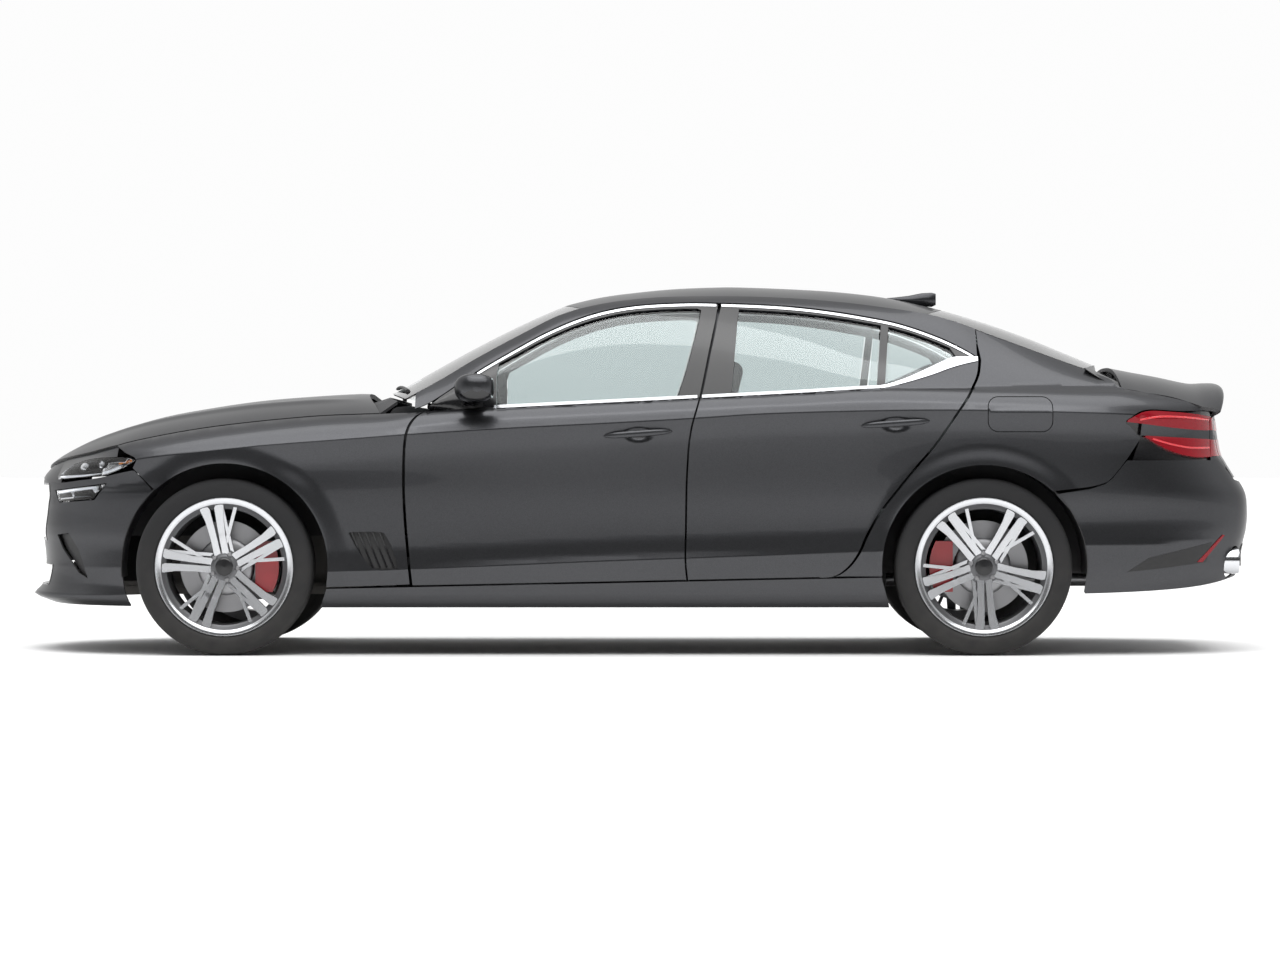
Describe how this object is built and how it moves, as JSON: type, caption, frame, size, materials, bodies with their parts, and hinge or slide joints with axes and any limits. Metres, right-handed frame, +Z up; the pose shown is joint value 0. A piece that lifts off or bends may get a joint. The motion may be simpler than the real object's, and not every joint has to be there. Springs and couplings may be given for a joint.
{
  "type": "sports sedan",
  "caption": "Low four-door saloon car with a long bonnet, fastback roof line, steered front wheels, hinged doors, bonnet, boot lid and fuel flap.",
  "frame": {"origin": "on the ground under the middle of the car's length and width", "axes": "+X to the front, +Y to the left side, +Z up"},
  "size_m": [4.6838, 2.0648, 1.3985],
  "materials": {
    "paint": "metallic gloss",
    "chassis": "satin",
    "engine": "cast",
    "exhaust": "satin",
    "caliper": "gloss",
    "glass": "clear",
    "black": "matt",
    "lamp": "clear",
    "tail": "clear",
    "seat": "matt",
    "tyre": "matt",
    "rim": "machined",
    "steel": "rough"
  },
  "bodies": {
    "body": {"floor": "chassis", "axles": "steel", "engine": "engine", "exhaust": "exhaust", "rear_calipers": "caliper", "side_frames": "paint", "quarter_panels": "paint", "fenders": "paint", "roof": "paint", "windscreen": "glass", "rear_window": "glass", "front_bumper": "paint", "grille": "black", "rear_bumper": "paint", "headlamps": "lamp", "tail_lamps": "tail", "seats": "seat", "dashboard": "black"},
    "bonnet": {"bonnet": "paint"},
    "boot_lid": {"boot_lid": "paint"},
    "fuel_flap": {"fuel_flap": "paint"},
    "steering_wheel": {"steering_wheel": "black"},
    "knuckle_left": {"knuckle_left": "steel", "caliper_left": "caliper"},
    "knuckle_right": {"knuckle_right": "steel", "caliper_right": "caliper"},
    "door_front_left": {"door_front_left": "paint", "glass_front_left": "glass", "mirror_left": "paint"},
    "wheel_front_left": {"tyre_front_left": "tyre", "rim_front_left": "rim"},
    "door_front_right": {"door_front_right": "paint", "glass_front_right": "glass", "mirror_right": "paint"},
    "wheel_front_right": {"tyre_front_right": "tyre", "rim_front_right": "rim"},
    "door_rear_left": {"door_rear_left": "paint", "glass_rear_left": "glass"},
    "wheel_rear_left": {"tyre_rear_left": "tyre", "rim_rear_left": "rim"},
    "door_rear_right": {"door_rear_right": "paint", "glass_rear_right": "glass"},
    "wheel_rear_right": {"tyre_rear_right": "tyre", "rim_rear_right": "rim"}
  },
  "joints": [
    {"name": "steer_left", "type": "hinge", "parent": "body", "child": "knuckle_left", "pos_m": [1.54, 0.722, 0.331], "axis": [0, 0, 1], "range_deg": [-35, 35]},
    {"name": "steer_right", "type": "hinge", "parent": "body", "child": "knuckle_right", "pos_m": [1.54, -0.722, 0.331], "axis": [0, 0, 1], "range_deg": [-35, 35]},
    {"name": "steering_wheel_turn", "type": "hinge", "parent": "body", "child": "steering_wheel", "pos_m": [0.585, 0.42, 0.838], "axis": [-0.9397, 0, 0.342], "range_deg": [-430, 430]},
    {"name": "spin_front_left", "type": "hinge", "parent": "knuckle_left", "child": "wheel_front_left", "pos_m": [1.54, 0.793, 0.331], "axis": [0, 1, 0], "continuous": true},
    {"name": "spin_front_right", "type": "hinge", "parent": "knuckle_right", "child": "wheel_front_right", "pos_m": [1.54, -0.793, 0.331], "axis": [0, 1, 0], "continuous": true},
    {"name": "spin_rear_left", "type": "hinge", "parent": "body", "child": "wheel_rear_left", "pos_m": [-1.295, 0.784, 0.331], "axis": [0, 1, 0], "continuous": true},
    {"name": "spin_rear_right", "type": "hinge", "parent": "body", "child": "wheel_rear_right", "pos_m": [-1.295, -0.784, 0.331], "axis": [0, 1, 0], "continuous": true},
    {"name": "door_front_left_swing", "type": "hinge", "parent": "body", "child": "door_front_left", "pos_m": [0.809, 0.875, 0.57], "axis": [0, 0, -1], "range_deg": [0, 66]},
    {"name": "door_front_right_swing", "type": "hinge", "parent": "body", "child": "door_front_right", "pos_m": [0.809, -0.875, 0.57], "axis": [0, 0, 1], "range_deg": [0, 66]},
    {"name": "door_rear_left_swing", "type": "hinge", "parent": "body", "child": "door_rear_left", "pos_m": [-0.244, 0.875, 0.57], "axis": [0, 0, -1], "range_deg": [0, 66]},
    {"name": "door_rear_right_swing", "type": "hinge", "parent": "body", "child": "door_rear_right", "pos_m": [-0.244, -0.875, 0.57], "axis": [0, 0, 1], "range_deg": [0, 66]},
    {"name": "bonnet_lift", "type": "hinge", "parent": "body", "child": "bonnet", "pos_m": [0.955, 0, 0.9], "axis": [0, -1, 0], "range_deg": [0, 55]},
    {"name": "boot_lift", "type": "hinge", "parent": "body", "child": "boot_lid", "pos_m": [-1.81, 0, 1.056], "axis": [0, 1, 0], "range_deg": [0, 75]},
    {"name": "fuel_flap_swing", "type": "hinge", "parent": "body", "child": "fuel_flap", "pos_m": [-1.311, 0.922, 0.901], "axis": [0, 0, -1], "range_deg": [0, 95]}
  ],
  "couplings": [
    {"joint": "steer_right", "follows": "steer_left", "ratio": 1},
    {"joint": "steering_wheel_turn", "follows": "steer_left", "ratio": 12}
  ]
}
